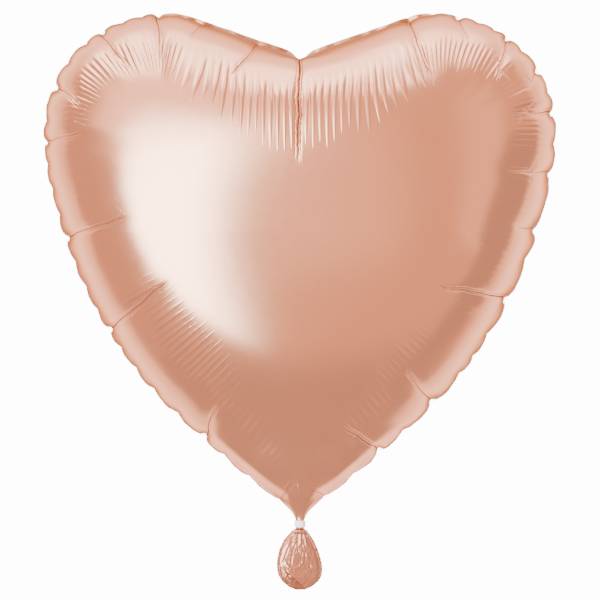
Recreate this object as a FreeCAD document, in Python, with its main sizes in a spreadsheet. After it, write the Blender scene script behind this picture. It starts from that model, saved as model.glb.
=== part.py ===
"""Heart-shaped foil balloon, blown up, with its neck gathered in a ribbon tie.

Millimetres, +Z up, the heart's front towards -Y. The origin is the narrowest point of
the gathered neck, at the top edge of the ribbon tie, where the balloon is held.

Three rigid bodies hang together: the heart, the ribbon tie with the gathered neck inside
it, and the filling tail below. The neck bends fore and aft about X at the origin. The
tail sways about Y at a second point just below the ribbon.

The film of a real balloon is about 0.04 mm thick. Here it is film_wall thick, so that
each film is a solid that can be meshed.
"""
import FreeCAD, Part

import math
import os

import Sketcher
from FreeCAD import Vector

# ---------------------------------------------------------------- driving dimensions
SIZES = [
    # the heart
    ("heart_width", 388.0, "across the outer edges of the rim seal"),
    ("heart_height", 381.0, "from the neck to the top edge of the lobes"),
    ("cleft_height", 347.0, "from the neck to the outer edge at the cleft"),
    ("lobe_height", 300.0, "from the neck to the widest level"),
    ("bulge", 82.0, "from the middle plane to the front, and the same to the back"),
    ("film_wall", 0.6, "stand-in thickness of every foil film"),
    ("seal_width", 3.0, "welded margin outside the seam line"),
    ("seal_thickness", 0.8, "the two films welded together"),
    # the tie
    ("swing_clearance", 0.4, "free gap round each end of the gathered neck"),
    ("neck_ball_radius", 4.9, "top of the gathered neck, inside the heart's tip"),
    ("neck_radius", 3.2, "gathered film under the ribbon"),
    ("ribbon_top", 1.5, "the origin down to the ribbon's upper edge"),
    ("ribbon_width", 5.5, "height of the wound band"),
    ("ribbon_build", 1.1, "radial thickness of the wound turns"),
    ("ribbon_edge_round", 0.4, "edge radius of the band"),
    ("knot_width", 5.0, "knot at the back, along X"),
    ("knot_height", 4.0, "knot, along Z"),
    ("knot_depth", 2.6, "knot, along Y"),
    ("knot_end_length", 6.0, "each trimmed ribbon end"),
    ("knot_end_width", 2.2, "ribbon end, folded lengthways"),
    ("knot_end_thickness", 0.5, "ribbon end"),
    # the tail
    ("tail_pivot_drop", 2.0, "ribbon's lower edge down to the sway axis"),
    ("tail_ball_radius", 3.0, "lower end of the gathered neck"),
    ("tail_length", 44.4, "sway axis to the tail's lower end, less the throat gap"),
    ("tail_width", 33.0, "widest place of the tail"),
    ("tail_depth", 14.0, "front to back of the puffed tail"),
    ("tail_seal_width", 2.0, "welded margin at each side of the tail"),
    ("tail_seal_thickness", 0.6, "between the two tail films"),
    ("tail_mouth_height", 7.0, "open lower end, above the tail's lowest point"),
    # the self-closing valve
    ("valve_width", 27.0, "flat width of the valve channel"),
    ("valve_length", 104.0, "from the neck up into the heart"),
    ("valve_bottom", 5.8, "lower end of the valve inside the heart"),
    ("valve_bottom_width", 5.0, "width where it comes out of the gathered neck"),
    ("valve_spread_height", 36.0, "height at which the valve reaches its full width"),
    ("valve_film", 0.4, "stand-in thickness of one valve film"),
    ("valve_gap", 0.2, "between the two valve films"),
    ("valve_weld_width", 3.0, "welded line down each side of the channel"),
    ("inlet_width", 18.0, "valve channel inside the tail, at its lower end"),
    ("inlet_top_width", 3.2, "valve channel just under the gathered neck"),
    ("inlet_length", 25.0, "valve channel inside the tail"),
    ("inlet_gap", 6.0, "sway axis down to the top of the inlet films"),
]

doc = FreeCAD.newDocument("heart_foil_balloon")
sheet = doc.addObject("Spreadsheet::Sheet", "sizes")
for row, (alias, value, meaning) in enumerate(SIZES, start=1):
    sheet.set("A%d" % row, alias)
    sheet.set("B%d" % row, str(value))
    sheet.set("C%d" % row, meaning)
    sheet.setAlias("B%d" % row, alias)
doc.recompute()


def size(alias):
    """The value of one cell, for the shapes that are made in code."""
    return float(sheet.get(alias))


def bind(item, **expressions):
    """Ties properties of a document object to the sheet."""
    for name, expression in expressions.items():
        item.setExpression(name.replace("__", "."), expression)
    return item


def add(kind, name, **expressions):
    return bind(doc.addObject(kind, name), **expressions)


# ---------------------------------------------------------------- the heart's seam line
# The right-hand seam line, from the neck up round the lobe to the cleft. Each point is a
# share of the half width, a share of the rise between two levels, and those levels.
SEAM_POINTS = [
    (0.000, 0.000, "neck", "lobe"), (0.200, 0.104, "neck", "lobe"),
    (0.472, 0.255, "neck", "lobe"), (0.679, 0.402, "neck", "lobe"),
    (0.862, 0.601, "neck", "lobe"), (0.964, 0.798, "neck", "lobe"),
    (1.000, 1.000, "neck", "lobe"), (0.917, 0.539, "lobe", "top"),
    (0.788, 0.817, "lobe", "top"), (0.530, 1.000, "cleft", "top"),
    (0.250, 0.547, "cleft", "top"), (0.130, 0.320, "cleft", "top"),
    (0.000, 0.000, "cleft", "top")]


def seam_levels():
    margin = size("seal_width")
    return {"neck": 0.0, "lobe": size("lobe_height"),
            "cleft": size("cleft_height") - margin, "top": size("heart_height") - margin}


def seam_curve():
    """The right-hand seam line as one spline in the XZ plane."""
    half = size("heart_width") / 2 - size("seal_width")
    level = seam_levels()
    points = [Vector(half * x, 0, level[a] + (level[b] - level[a]) * rise)
              for x, rise, a, b in SEAM_POINTS]
    curve = Part.BSplineCurve()
    curve.interpolate(points)
    return curve


# ---------------------------------------------------------------- the heart's two films
CLOCK_STEPS = 36     # steps round the right half, from the neck to the cleft
RISE_STEPS = 9       # steps from the middle of the film out to the rim
CENTRE_CAP = 4.0     # degrees left out at the very middle, closed by a flat face
MORPH = 2.2          # how soon the heart outline fades to a plain oval, going inwards
FLATNESS = 2.9       # 2 gives the film an elliptical section, more a flatter middle
TIP_TAPER = 75.0     # mm above the neck over which the two films draw together


def seam_point(curve, centre, clock):
    """Where the ray at this clock angle meets the seam line, by halving."""
    first, last = curve.FirstParameter, curve.LastParameter
    if clock <= -math.pi / 2 + 1e-9:
        return curve.value(first)
    if clock >= math.pi / 2 - 1e-9:
        return curve.value(last)
    for _ in range(50):
        middle = (first + last) / 2
        point = curve.value(middle)
        if math.atan2(point.z - centre, point.x) < clock:
            first = middle
        else:
            last = middle
    return curve.value((first + last) / 2)


def drawn_together(height, centre):
    """The share of its full depth that the film keeps at a height above the neck."""
    here = 1 - math.exp(-max(0.0, min(height, centre)) / TIP_TAPER)
    return here / (1 - math.exp(-centre / TIP_TAPER))


def film_rows(inset, base):
    """Level lines of the right half of the front film, from the middle out to the rim.

    The film is moved in by inset and stands on the plane y = -base. Its level lines are
    the heart at the rim and turn into an oval towards the middle."""
    curve = seam_curve()
    level = seam_levels()
    centre = 0.56 * level["lobe"] + 0.12 * level["top"]
    half = size("heart_width") / 2 - size("seal_width")
    oval_wide, oval_high = 0.93 * half - inset, 0.80 * half - inset
    bulge = size("bulge") - inset - base
    turn = math.pi / CLOCK_STEPS
    clocks = [-math.pi / 2 + turn * k for k in range(CLOCK_STEPS + 1)]
    reach = []
    for clock in clocks:
        point = seam_point(curve, centre, clock)
        reach.append(math.hypot(point.x, point.z - centre))
    inner = []
    for k, radius in enumerate(reach):
        ahead = reach[min(k + 1, CLOCK_STEPS)]
        behind = reach[max(k - 1, 0)]
        span = turn * (2 if 0 < k < CLOCK_STEPS else 1)
        slope = (ahead - behind) / span / radius
        inner.append(radius - inset * math.hypot(1, slope))
    rows = []
    for step in range(RISE_STEPS + 1):
        rise = math.radians(CENTRE_CAP + (90 - CENTRE_CAP) * step / RISE_STEPS)
        share = math.sin(rise)
        fade = share ** MORPH
        row = []
        for clock, radius in zip(clocks, inner):
            oval = 1 / math.hypot(math.cos(clock) / oval_wide, math.sin(clock) / oval_high)
            out = share * (fade * radius + (1 - fade) * oval)
            height = centre + out * math.sin(clock)
            depth = bulge * math.sqrt(1 - share ** FLATNESS)
            depth *= drawn_together(height, centre)
            x = out * math.cos(clock) if 0 < clocks.index(clock) < CLOCK_STEPS else 0.0
            if step == RISE_STEPS:
                depth = 0.0
            row.append(Vector(x, -depth - base, height))
        cap_level = min(p.y for p in row)
        if step == 0:
            row = [Vector(p.x, cap_level, p.z) for p in row]
        rows.append(row)
    return rows


def half_dome(rows):
    """A closed solid between one half of the film and the plane of its rim."""
    skin = Part.BSplineSurface()
    skin.interpolate(rows)
    film = skin.toShape()
    cap_y, rim_y = rows[0][0].y, rows[-1][0].y
    sides, rim_edge, cap_edge = [], None, None
    for edge in film.Edges:
        ends = [edge.Vertexes[0].Point, edge.Vertexes[-1].Point]
        if all(abs(p.y - rim_y) < 1e-5 for p in ends):
            rim_edge = edge
        elif all(abs(p.y - cap_y) < 1e-5 for p in ends):
            cap_edge = edge
        else:
            sides.append(edge)
    rim_line = Part.makeLine(rows[-1][0], rows[-1][-1])
    cap_line = Part.makeLine(rows[0][0], rows[0][-1])
    wires = [[rim_edge, rim_line], [cap_edge, cap_line], sides + [rim_line, cap_line]]
    flats = [Part.Face(Part.Wire(Part.__sortEdges__(edges))) for edges in wires]
    shell = Part.makeShell([film] + flats)
    shell.sewShape()
    dome = Part.makeSolid(Part.Shell(shell.Faces))
    if dome.Volume < 0:
        dome.reverse()
    return dome


def mirrored_pair(solid):
    """The solid and its mirror image in the middle plane, as one solid."""
    return solid.fuse(solid.mirror(Vector(), Vector(1, 0, 0))).removeSplitter()


def swing_room(centre, radius):
    return Part.makeSphere(radius + size("swing_clearance"), centre)


def make_front_film():
    base = size("seal_thickness") / 2
    wall = size("film_wall")
    outside = mirrored_pair(half_dome(film_rows(0, base)))
    inside = mirrored_pair(half_dome(film_rows(wall, base / 2)))
    film = outside.cut(inside).cut(swing_room(Vector(), size("neck_ball_radius")))
    return film.Solids[0] if len(film.Solids) == 1 else film


front = doc.addObject("Part::Feature", "front_foil_panel")
front.Shape = make_front_film()
back = doc.addObject("Part::Mirroring", "back_foil_panel")
back.Source = front
back.Normal = (0, 1, 0)
back.Base = (0, 0, 0)


# ---------------------------------------------------------------- the rim's welded margin
MARGIN_SAMPLES = 40  # points along the right-hand edge of the margin


def margin_face(shift):
    """The heart bounded by a line that runs shift outside the seam line."""
    seam = seam_curve()
    first, last = seam.FirstParameter, seam.LastParameter
    points = []
    for k in range(MARGIN_SAMPLES + 1):
        at = first + (last - first) * k / MARGIN_SAMPLES
        point = seam.value(at)
        along = Vector(*seam.tangent(at)[0])
        if k in (0, MARGIN_SAMPLES):
            points.append(Vector(0, 0, point.z - shift / along.x))
            continue
        moved = point + Vector(along.z, 0, -along.x) * shift
        if moved.x > 3:
            points.append(moved)
    right_curve = Part.BSplineCurve()
    right_curve.interpolate(points)
    right = right_curve.toShape()
    left = right.mirror(Vector(), Vector(1, 0, 0))
    return Part.Face(Part.Wire(Part.__sortEdges__([right, left])))


def make_rim_seal():
    thickness = size("seal_thickness")
    ring = margin_face(size("seal_width")).cut(margin_face(-size("film_wall")))
    ring.translate(Vector(0, -thickness / 2, 0))
    solid = ring.extrude(Vector(0, thickness, 0))
    solid = solid.cut(swing_room(Vector(), size("neck_ball_radius")))
    return solid.Solids[0] if len(solid.Solids) == 1 else solid


rim = doc.addObject("Part::Feature", "rim_heat_seal")
rim.Shape = make_rim_seal()

# ---------------------------------------------------------------- the gathered neck
RIBBON_BOTTOM = "-(sizes.ribbon_top + sizes.ribbon_width)"
TAIL_PIVOT = "-(sizes.ribbon_top + sizes.ribbon_width + sizes.tail_pivot_drop)"
tail_pivot_z = -(size("ribbon_top") + size("ribbon_width") + size("tail_pivot_drop"))

neck_ball = add("Part::Sphere", "neck_ball", Radius="sizes.neck_ball_radius")
neck_core = add("Part::Cylinder", "neck_core", Radius="sizes.neck_radius",
                Height="-" + TAIL_PIVOT, Placement__Base__z=TAIL_PIVOT)
tail_ball = add("Part::Sphere", "tail_ball", Radius="sizes.tail_ball_radius",
                Placement__Base__z=TAIL_PIVOT)
# the ball is cut flat where it sits on the ribbon's upper edge
ball_trim = add("Part::Cylinder", "ball_trim", Radius="sizes.neck_ball_radius + 1",
                Height="sizes.neck_ball_radius",
                Placement__Base__z="-sizes.ribbon_top - sizes.neck_ball_radius")
neck_bulb = doc.addObject("Part::Cut", "neck_bulb")
neck_bulb.Base, neck_bulb.Tool = neck_ball, ball_trim
# and the core ends on the level of the sway axis, inside the lower ball
gather = doc.addObject("Part::MultiFuse", "neck_gather")
gather.Shapes = [neck_bulb, neck_core, tail_ball]
gather.Refine = True

# ---------------------------------------------------------------- the ribbon
band = doc.addObject("PartDesign::Body", "tie_ribbon_band")
band_sketch = band.newObject("Sketcher::SketchObject", "band_section")
xz_plane = [f for f in band.Origin.OriginFeatures if f.Role == "XZ_Plane"][0]
band_sketch.AttachmentSupport = (xz_plane, [""])
band_sketch.MapMode = "FlatFace"


def draw_polygon(sketch, corners):
    """A closed outline whose corners are pairs of expressions, measured from the origin.

    It is drawn as a plain ring of points, and the expressions move each corner home.
    """
    count = len(corners)
    turns = [2 * math.pi * k / count for k in range(count)]
    rough = [Vector(10 * math.cos(turn), 10 * math.sin(turn), 0) for turn in turns]
    for k in range(count):
        sketch.addGeometry(Part.LineSegment(rough[k], rough[(k + 1) % count]))
    for k in range(count):
        sketch.addConstraint(Sketcher.Constraint("Coincident", k, 2, (k + 1) % count, 1))
    for k, (across, up) in enumerate(corners):
        for kind, expression, value in (("DistanceX", across, rough[k].x),
                                        ("DistanceY", up, rough[k].y)):
            index = sketch.addConstraint(Sketcher.Constraint(kind, -1, 1, k, 1, value))
            sketch.setExpression("Constraints[%d]" % index, expression)


inner_r = "sizes.neck_radius"
outer_r = "sizes.neck_radius + sizes.ribbon_build"
draw_polygon(band_sketch, [(inner_r, "-sizes.ribbon_top"), (outer_r, "-sizes.ribbon_top"),
                           (outer_r, RIBBON_BOTTOM), (inner_r, RIBBON_BOTTOM)])
doc.recompute()
band_ring = band.newObject("PartDesign::Revolution", "band_ring")
band_ring.Profile = band_sketch
band_ring.ReferenceAxis = (band_sketch, ["V_Axis"])
band_ring.Angle = 360
band.Tip = band_ring
doc.recompute()
band_round = band.newObject("PartDesign::Fillet", "band_round")
outer_rings = []
for number, edge in enumerate(band_ring.Shape.Edges, start=1):
    is_ring = isinstance(edge.Curve, Part.Circle)
    if is_ring and abs(edge.Curve.Radius - size("neck_radius")) > 1e-6:
        outer_rings.append("Edge%d" % number)
band_round.Base = (band_ring, outer_rings)
bind(band_round, Radius="sizes.ribbon_edge_round")
band.Tip = band_round

# the knot sits against the back of the band, with two trimmed ends below it
knot_middle = "-(sizes.ribbon_top + sizes.ribbon_width / 2)"
knot_back = "sizes.neck_radius + sizes.ribbon_build"
knot_ball = add("Part::Sphere", "knot_ball", Radius="sizes.knot_width / 2",
                Placement__Base__y=knot_back + " + 0.2 * sizes.knot_depth",
                Placement__Base__z=knot_middle)
knot_block = add("Part::Box", "knot_block", Length="2 * sizes.knot_width",
                 Width="2 * sizes.knot_depth", Height="sizes.knot_height",
                 Placement__Base__x="-sizes.knot_width",
                 Placement__Base__y=knot_back + " - sizes.knot_depth",
                 Placement__Base__z=knot_middle + " - sizes.knot_height / 2")
knot_body = doc.addObject("Part::Common", "knot_body")
knot_body.Base, knot_body.Tool = knot_ball, knot_block
END_SPREAD = 28      # degrees that each ribbon end leans away from straight down
knot_ends = []
for side in (-1, 1):
    end = add("Part::Box", "knot_end_left" if side < 0 else "knot_end_right",
              Length="sizes.knot_end_width", Width="sizes.knot_end_thickness",
              Height="sizes.knot_end_length")
    tilt = FreeCAD.Rotation(Vector(0, 1, 0), 180 - side * END_SPREAD)
    start_y = size("neck_radius") + size("ribbon_build") + size("knot_depth") * 0.45
    start_y += 0.4 * side
    start_z = -(size("ribbon_top") + size("ribbon_width") / 2)
    centre = Vector(size("knot_end_width") / 2, size("knot_end_thickness") / 2, 0)
    end.Placement = FreeCAD.Placement(Vector(0, start_y, start_z), tilt) * \
        FreeCAD.Placement(centre * -1, FreeCAD.Rotation())
    knot_ends.append(end)
knot_lump = doc.addObject("Part::MultiFuse", "knot_lump")
knot_lump.Shapes = [knot_body] + knot_ends
band_space = add("Part::Cylinder", "band_space", Radius=outer_r,
                 Height="3 * sizes.ribbon_width",
                 Placement__Base__z="-2 * sizes.ribbon_width - sizes.ribbon_top")
knot = doc.addObject("Part::Cut", "tie_ribbon_knot")
knot.Base, knot.Tool = knot_lump, band_space

# ---------------------------------------------------------------- the filling tail
# Each station is a share of the tail's length below the throat, of its half width and of
# its half depth. The first is the round throat.
TAIL_STATIONS = [(0.20, 0.440, 0.60), (0.40, 0.790, 0.86), (0.61, 1.000, 1.00),
                 (0.79, 0.900, 0.84), (0.92, 0.610, 0.55), (0.985, 0.270, 0.28),
                 (1.00, 0.120, 0.16)]
THROAT_DROP = 1.5    # sway axis down to the first station
THROAT_RADIUS = "(sizes.tail_ball_radius - 0.1)"


def tail_loft(name, inset, stations=TAIL_STATIONS):
    """The tail's puffed outer form, or with an inset the space inside its films."""
    top = "(%s - %s)" % (TAIL_PIVOT, THROAT_DROP)
    rings = [add("Part::Ellipse", name + "_throat",
                 MajorRadius="%s + 0.001 - %s" % (THROAT_RADIUS, inset),
                 MinorRadius="%s - %s" % (THROAT_RADIUS, inset),
                 Placement__Base__z=top)]
    for k, (down, wide, deep) in enumerate(stations, start=1):
        rings.append(add(
            "Part::Ellipse", "%s_ring_%d" % (name, k),
            MajorRadius="sizes.tail_width / 2 * %s - %s" % (wide, inset),
            MinorRadius="sizes.tail_depth / 2 * %s - %s" % (deep, inset),
            Placement__Base__z="%s - sizes.tail_length * %s" % (top, down)))
    loft = doc.addObject("Part::Loft", name)
    loft.Sections = rings
    loft.Solid = True
    loft.Ruled = False
    return loft


tail_form = tail_loft("tail_form", "0")
tail_space = tail_loft("tail_space", "sizes.film_wall")
tail_swing = add("Part::Sphere", "tail_swing_room",
                 Radius="sizes.tail_ball_radius + sizes.swing_clearance",
                 Placement__Base__z=TAIL_PIVOT)
tail_hollow = doc.addObject("Part::MultiFuse", "tail_hollow")
tail_hollow.Shapes = [tail_space, tail_swing]
tail_skin = doc.addObject("Part::Cut", "tail_skin")
tail_skin.Base, tail_skin.Tool = tail_form, tail_hollow


def tail_side(name, front_side):
    """The half of the tail's skin in front of, or behind, its side seals."""
    y = "-sizes.tail_depth - sizes.tail_seal_thickness / 2"
    if not front_side:
        y = "sizes.tail_seal_thickness / 2"
    half_space = add("Part::Box", name + "_half_space", Length="2 * sizes.tail_width",
                     Width="sizes.tail_depth", Height="3 * sizes.tail_length",
                     Placement__Base__x="-sizes.tail_width", Placement__Base__y=y,
                     Placement__Base__z="-2.5 * sizes.tail_length")
    film = doc.addObject("Part::Common", name)
    film.Base, film.Tool = tail_skin, half_space
    return film


tail_front = tail_side("tail_front_film", True)
tail_back = tail_side("tail_back_film", False)

seal_slab = add("Part::Box", "tail_seal_slab", Length="2 * sizes.tail_width",
                Width="sizes.tail_seal_thickness", Height="3 * sizes.tail_length",
                Placement__Base__x="-sizes.tail_width",
                Placement__Base__y="-sizes.tail_seal_thickness / 2",
                Placement__Base__z="-2.5 * sizes.tail_length")
seal_plate = doc.addObject("Part::Common", "tail_seal_plate")
seal_plate.Base, seal_plate.Tool = tail_form, seal_slab
seal_window = tail_loft("tail_seal_window", "sizes.tail_seal_width", TAIL_STATIONS[:5])
mouth = add("Part::Box", "tail_mouth", Length="2 * sizes.tail_width",
            Width="2 * sizes.tail_depth", Height="sizes.tail_mouth_height",
            Placement__Base__x="-sizes.tail_width", Placement__Base__y="-sizes.tail_depth",
            Placement__Base__z="%s - %s - sizes.tail_length" % (TAIL_PIVOT, THROAT_DROP))
throat_room = add("Part::Sphere", "tail_throat_room",
                  Radius="sizes.tail_ball_radius + sizes.swing_clearance",
                  Placement__Base__z=TAIL_PIVOT)
seal_opening = doc.addObject("Part::MultiFuse", "tail_seal_opening")
seal_opening.Shapes = [seal_window, mouth, throat_room]
seal_pair = doc.addObject("Part::Cut", "tail_seal_pair")
seal_pair.Base, seal_pair.Tool = seal_plate, seal_opening
left_space = add("Part::Box", "tail_left_space", Length="sizes.tail_width",
                 Width="2 * sizes.tail_depth", Height="3 * sizes.tail_length",
                 Placement__Base__x="-sizes.tail_width",
                 Placement__Base__y="-sizes.tail_depth",
                 Placement__Base__z="-2.5 * sizes.tail_length")
seal_left = doc.addObject("Part::Common", "tail_seal_left")
seal_left.Base, seal_left.Tool = seal_pair, left_space
seal_right = doc.addObject("Part::Mirroring", "tail_seal_right")
seal_right.Source = seal_left
seal_right.Normal = (1, 0, 0)
tail_seals = doc.addObject("Part::Compound", "tail_side_seals")
tail_seals.Links = [seal_left, seal_right]


# ---------------------------------------------------------------- the self-closing valve
def flat_film(name, corners, front_face, back_face):
    """A flat film in an upright plane, from y = front_face to y = back_face."""
    body = doc.addObject("PartDesign::Body", name)
    sketch = body.newObject("Sketcher::SketchObject", name + "_outline")
    plane = [f for f in body.Origin.OriginFeatures if f.Role == "XZ_Plane"][0]
    sketch.AttachmentSupport = (plane, [""])
    sketch.MapMode = "FlatFace"
    bind(sketch, AttachmentOffset__Base__z="-(%s)" % front_face)
    draw_polygon(sketch, corners)
    doc.recompute()
    pad = body.newObject("PartDesign::Pad", name + "_film")
    pad.Profile = sketch
    pad.Reversed = True
    bind(pad, Length="(%s) - (%s)" % (back_face, front_face))
    body.Tip = pad
    return body


def mirrored_corners(right_side):
    """A closed outline from its right-hand corners, listed from the bottom up."""
    left_side = [("-(%s)" % x, z) for x, z in reversed(right_side)]
    return right_side + left_side


outer_face = "sizes.valve_film + sizes.valve_gap / 2"
valve_outline = mirrored_corners([
    ("sizes.valve_bottom_width / 2", "sizes.valve_bottom"),
    ("sizes.valve_width / 2", "sizes.valve_spread_height"),
    ("sizes.valve_width / 2", "sizes.valve_bottom + sizes.valve_length")])
valve_front = flat_film("valve_front_film", valve_outline,
                        "-(%s)" % outer_face, "-sizes.valve_gap / 2")
valve_back = flat_film("valve_back_film", valve_outline,
                       "sizes.valve_gap / 2", outer_face)
weld_pair = []
for side, sign in (("right", ""), ("left", "-")):
    weld_corners = [
        (sign + "(sizes.valve_width / 2 - sizes.valve_weld_width)",
         "sizes.valve_spread_height"),
        (sign + "(sizes.valve_width / 2)", "sizes.valve_spread_height"),
        (sign + "(sizes.valve_width / 2)", "sizes.valve_bottom + sizes.valve_length"),
        (sign + "(sizes.valve_width / 2 - sizes.valve_weld_width)",
         "sizes.valve_bottom + sizes.valve_length")]
    weld_pair.append(flat_film("valve_weld_" + side, weld_corners,
                               "-sizes.valve_gap / 2", "sizes.valve_gap / 2"))
valve_welds = doc.addObject("Part::Compound", "valve_side_welds")
valve_welds.Links = weld_pair

inlet_top = "%s - sizes.inlet_gap" % TAIL_PIVOT
inlet_outline = mirrored_corners([
    ("sizes.inlet_width / 2", "%s - sizes.inlet_length" % inlet_top),
    ("sizes.inlet_top_width / 2", inlet_top)])
inlet_front = flat_film("valve_inlet_front_film", inlet_outline,
                        "-(%s)" % outer_face, "-sizes.valve_gap / 2")
inlet_back = flat_film("valve_inlet_back_film", inlet_outline,
                       "sizes.valve_gap / 2", outer_face)

# ---------------------------------------------------------------- build, check and write
doc.recompute()
PIECES = [front, back, rim, valve_front, valve_back, valve_welds,
          gather, band, knot,
          tail_front, tail_back, tail_seals, inlet_front, inlet_back]
for item in doc.Objects:
    if "Invalid" in item.State or "Error" in item.State:
        raise RuntimeError("%s failed: %s" % (item.Name, item.State))
os.makedirs("parts", exist_ok=True)
for item in PIECES:
    shape = item.Shape
    if shape.isNull() or not shape.isValid() or not shape.Solids:
        raise RuntimeError("%s has no valid solid" % item.Label)
    box = shape.BoundBox
    shape.exportStep(os.path.join("parts", item.Label + ".step"))
    print("%-24s %2d solid(s) %10.1f mm3   x %7.1f %6.1f   y %6.1f %6.1f   z %6.1f %6.1f" % (
        item.Label, len(shape.Solids), shape.Volume,
        box.XMin, box.XMax, box.YMin, box.YMax, box.ZMin, box.ZMax))
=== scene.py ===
# %% [markdown]
# # A heart-shaped foil balloon
#
# A foil balloon is two flat hearts of metallised film, welded together round the rim. When
# it is filled, each film bulges into a dome. The rim then has too much length for its new
# place, so it buckles into creases and fine pleats that point inwards. The neck is
# gathered and tied with white ribbon, and the filling tail hangs crumpled below.
#
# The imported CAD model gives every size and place. This script makes the looks.

# %% Load the frame
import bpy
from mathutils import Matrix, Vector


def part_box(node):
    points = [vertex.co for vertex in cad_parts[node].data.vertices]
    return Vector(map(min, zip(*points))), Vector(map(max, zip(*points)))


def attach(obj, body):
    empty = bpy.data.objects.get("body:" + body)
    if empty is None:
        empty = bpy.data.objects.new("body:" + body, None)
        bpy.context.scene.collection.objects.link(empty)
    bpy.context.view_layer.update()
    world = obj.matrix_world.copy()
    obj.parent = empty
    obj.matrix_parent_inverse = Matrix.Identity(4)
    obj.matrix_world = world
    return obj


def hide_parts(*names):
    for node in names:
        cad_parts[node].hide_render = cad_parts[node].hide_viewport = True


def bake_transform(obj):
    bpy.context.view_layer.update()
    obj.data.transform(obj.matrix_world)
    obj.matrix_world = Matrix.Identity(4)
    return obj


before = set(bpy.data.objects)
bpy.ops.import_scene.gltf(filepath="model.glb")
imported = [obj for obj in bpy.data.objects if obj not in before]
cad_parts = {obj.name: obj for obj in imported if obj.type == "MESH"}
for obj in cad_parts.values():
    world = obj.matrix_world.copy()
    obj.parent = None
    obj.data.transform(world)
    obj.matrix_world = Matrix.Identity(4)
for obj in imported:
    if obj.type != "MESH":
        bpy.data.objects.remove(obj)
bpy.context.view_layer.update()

# %% Modules and the unit
import math

import bpy
import numpy as np
from mathutils import Vector

MM = 0.001

# %% [markdown]
# ## The outline
#
# The rim seal in the CAD model is a flat ring, and its outermost points, taken in order of
# clock angle about a point inside the heart, are the outline. The seam, where film meets
# film, runs one margin inside it. Near the neck the seam leaves the flat heart and runs
# into the ribbon, as the film does where it is gathered.

# %% The outline and the seam line
rim_low, rim_high = (np.array(corner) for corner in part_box("rim_heat_seal"))
HALF_WIDTH = (rim_high[0] - rim_low[0]) / 2
HEART_TOP = rim_high[2]
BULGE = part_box("back_foil_panel")[1][1]
MARGIN = rim_high[0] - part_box("front_foil_panel")[1][0]
CENTRE = np.array([0.0, 0.56 * HEART_TOP])
RIBBON_LOW, RIBBON_HIGH = (np.array(corner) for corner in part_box("tie_ribbon_band"))
RIBBON_RADIUS = RIBBON_HIGH[0]


def mesh_points(item):
    points = np.empty(len(item.data.vertices) * 3)
    item.data.vertices.foreach_get("co", points)
    return points.reshape(-1, 3)


def even_steps(path, count, closed=False):
    """count points at equal distances along a path."""
    if closed:
        path = np.vstack([path, path[:1]])
    run = np.r_[0, np.cumsum(np.linalg.norm(np.diff(path, axis=0), axis=1))]
    at = np.linspace(0, run[-1], count, endpoint=not closed)
    return np.column_stack([np.interp(at, run, path[:, k]) for k in range(path.shape[1])])


def right_outline():
    """The right half of the outline, from the neck up round the lobe to the cleft."""
    ring = mesh_points(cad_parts["rim_heat_seal"])[:, [0, 2]]
    arm = ring - CENTRE
    clock = np.arctan2(arm[:, 1], np.abs(arm[:, 0]))
    reach = np.linalg.norm(arm, axis=1)
    bins = np.linspace(-math.pi / 2, math.pi / 2, 361)
    found = []
    for low, high in zip(bins[:-1], bins[1:]):
        inside = np.nonzero((clock >= low) & (clock <= high))[0]
        if len(inside):
            best = inside[np.argmax(reach[inside])]
            found.append((clock[best], reach[best]))
    clock, reach = np.array(found).T
    fine = np.linspace(-math.pi / 2, math.pi / 2, 721)
    reach = np.interp(fine, clock, reach)
    path = CENTRE + np.column_stack([np.cos(fine), np.sin(fine)]) * reach[:, None]
    return even_steps(path, 600)


def smoothed(path, passes):
    """An open path with its kinks evened out and its ends kept."""
    path = path.copy()
    for _ in range(passes):
        path[1:-1] = (path[:-2] + 2 * path[1:-1] + path[2:]) / 4
    return path


def moved_in(path, distance):
    """An open path moved to its left, the inside of the heart."""
    along = np.gradient(path, axis=0)
    along /= np.linalg.norm(along, axis=1)[:, None]
    return path + np.column_stack([-along[:, 1], along[:, 0]]) * distance


RIM_COUNT = 1200
EDGE = 0.7 * MM       # how far the films' rim stands inside the outline
NECK_TOP = 14 * MM
# the seam from the middle of the neck up to the flat heart, mm
gather = np.array([
    [0.0, -5.0], [2.6, -4.2], [3.0, -2.4], [3.3, -0.6], [5.2, 3.2], [9.3, 8.4]]) * MM
seam_right = smoothed(moved_in(smoothed(right_outline(), 160), EDGE), 60)
seam_right = seam_right[(seam_right[:, 1] > NECK_TOP) & (seam_right[:, 0] > 0.5 * MM)]
cleft_foot = np.array([[0.0, seam_right[-1, 1] - 0.2 * MM]])
seam_right = even_steps(np.vstack([gather, seam_right, cleft_foot]), RIM_COUNT // 2 + 1)
seam_right = even_steps(smoothed(seam_right, 12), RIM_COUNT // 2 + 1)
seam = np.vstack([seam_right, seam_right[-2:0:-1] * [-1, 1]])
seam_length = np.linalg.norm(np.diff(np.vstack([seam, seam[:1]]), axis=0), axis=1).sum()
seam_run = np.arange(RIM_COUNT) * seam_length / RIM_COUNT
seam_share = np.where(seam_run <= seam_length / 2, seam_run, seam_run - seam_length)
seam_share = seam_share / (seam_length / 2)
print("seam %.0f mm long, half width %.1f mm, bulge %.1f mm, margin %.1f mm" % (
    seam_length / MM, HALF_WIDTH / MM, BULGE / MM, MARGIN / MM))

# %% [markdown]
# ## Where the film creases
#
# A place on the rim is a share of the way from the neck (0) round to the cleft (1), and
# minus on the left. Each large crease starts at such a place and runs inwards. It leans
# away from square to the rim by some degrees, towards the cleft if positive.

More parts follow.
